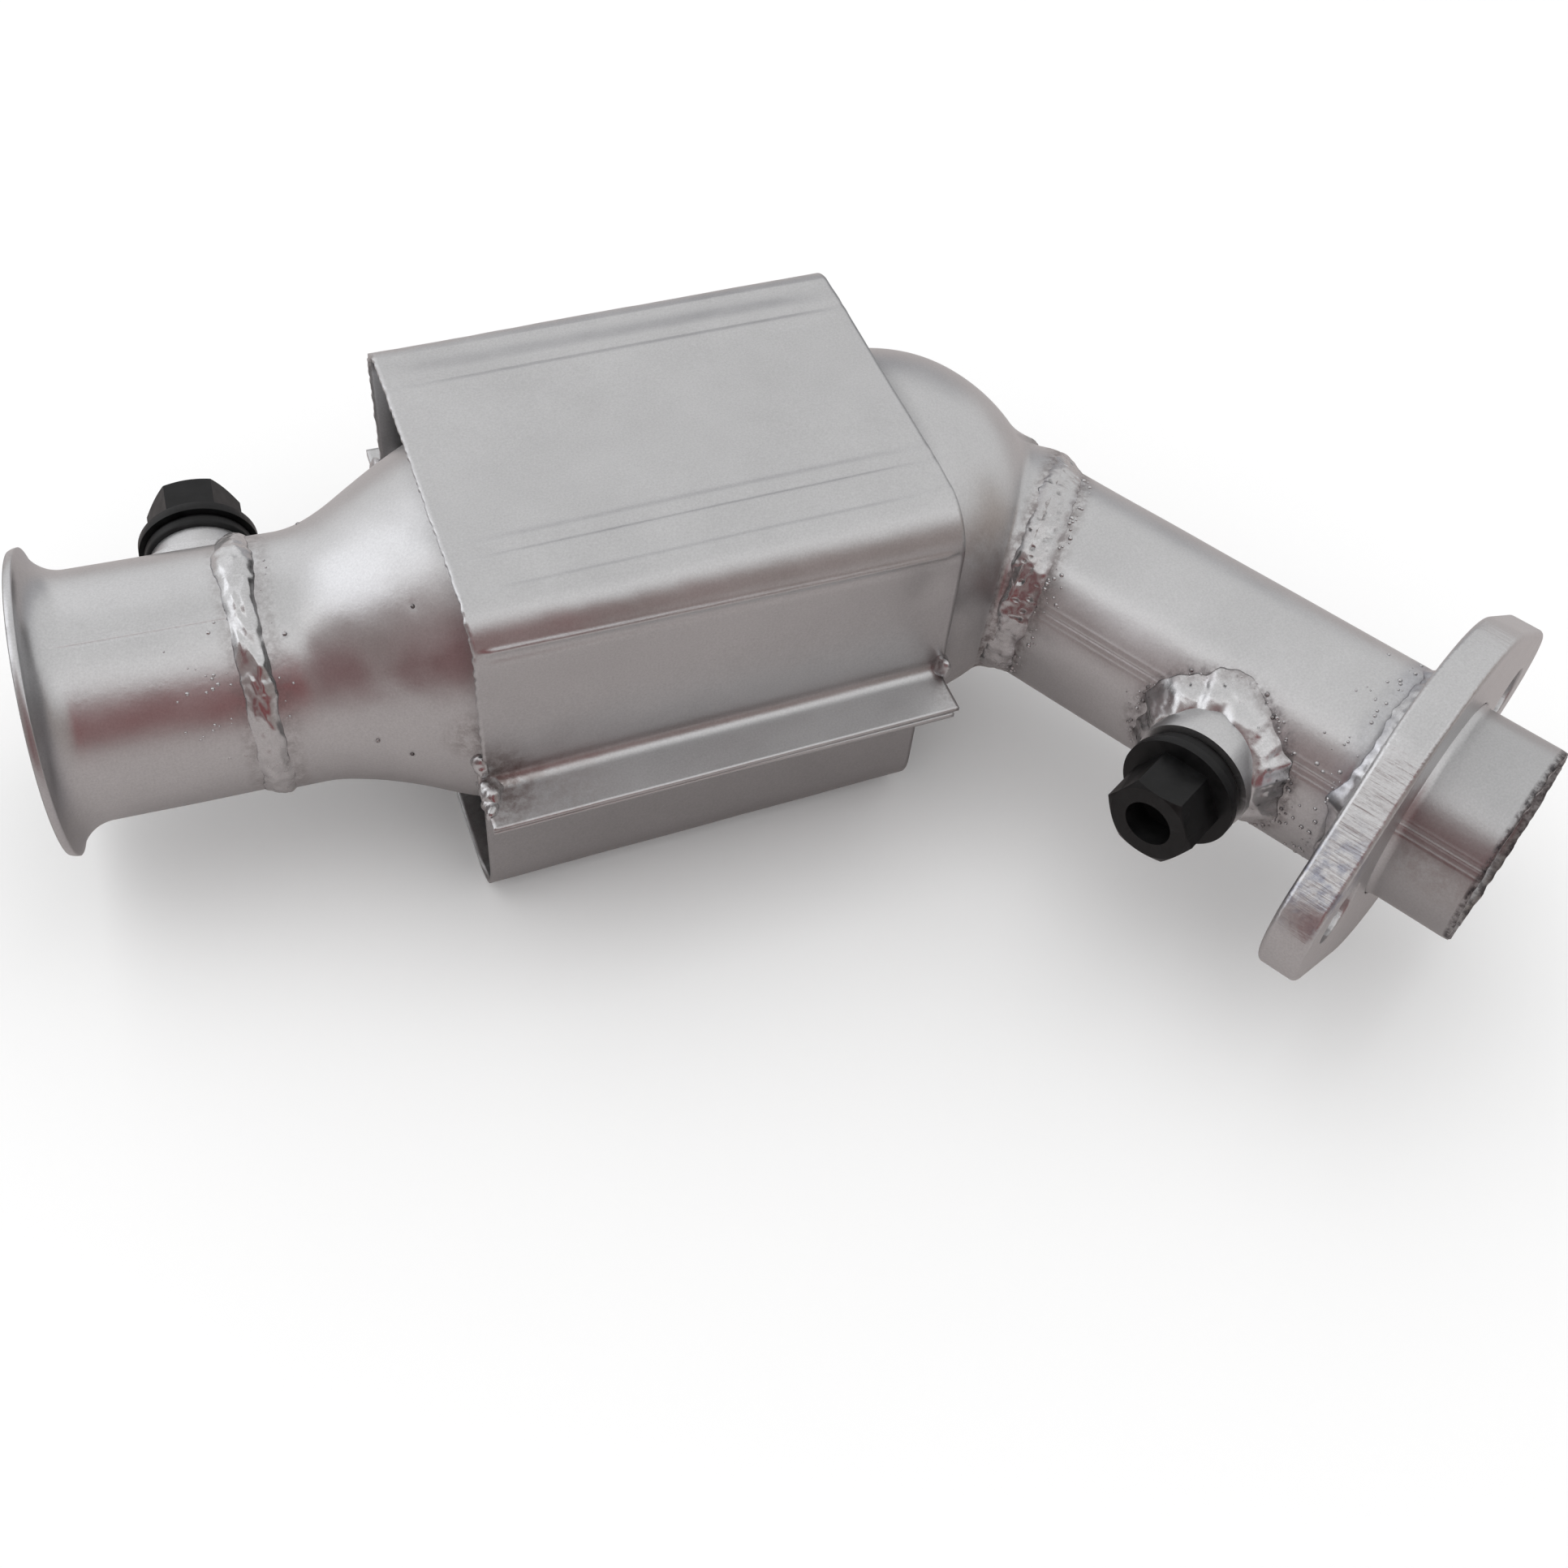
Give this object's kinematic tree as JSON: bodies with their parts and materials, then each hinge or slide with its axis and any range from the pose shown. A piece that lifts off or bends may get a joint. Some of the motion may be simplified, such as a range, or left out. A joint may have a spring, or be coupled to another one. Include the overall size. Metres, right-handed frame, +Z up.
{
  "type": "catalytic converter",
  "caption": "Catalytic converter with a flared inlet, a can in a two-part heat shield, a domed elbow outlet, a two-hole flange and two plugged sensor bosses.",
  "frame": {"origin": "centre of the inlet mouth, in the plane of its flared lip", "axes": "+X along the can from inlet to outlet, +Z up out of the top of the heat shield, the outlet pipe leaves to -Y"},
  "size_m": [0.3314, 0.2057, 0.1022],
  "materials": {
    "painted_steel": "satin silver heat-resistant paint over steel",
    "shield_sheet": "satin silver paint over pressed sheet",
    "weld_metal": "rippled weld metal under silver paint",
    "black_steel": "black oxide",
    "mat": "fibre mat",
    "ceramic": "coated honeycomb ceramic"
  },
  "bodies": {
    "root": {"can_body": "painted_steel", "can_girth_welds": "weld_metal", "ceramic_substrate": "ceramic", "flange_weld": "weld_metal", "inlet_boss": "painted_steel", "inlet_boss_weld": "weld_metal", "inlet_cone": "painted_steel", "inlet_gasket": "black_steel", "inlet_pipe": "painted_steel", "inlet_plug": "black_steel", "inlet_weld": "weld_metal", "lower_heat_shield": "shield_sheet", "outlet_boss": "painted_steel", "outlet_boss_weld": "weld_metal", "outlet_cap": "painted_steel", "outlet_flange": "painted_steel", "outlet_gasket": "black_steel", "outlet_pipe": "painted_steel", "outlet_plug": "black_steel", "outlet_weld": "weld_metal", "shield_clips": "shield_sheet", "shield_tack_welds": "weld_metal", "support_mat": "mat", "upper_heat_shield": "shield_sheet"}
  },
  "joints": []
}
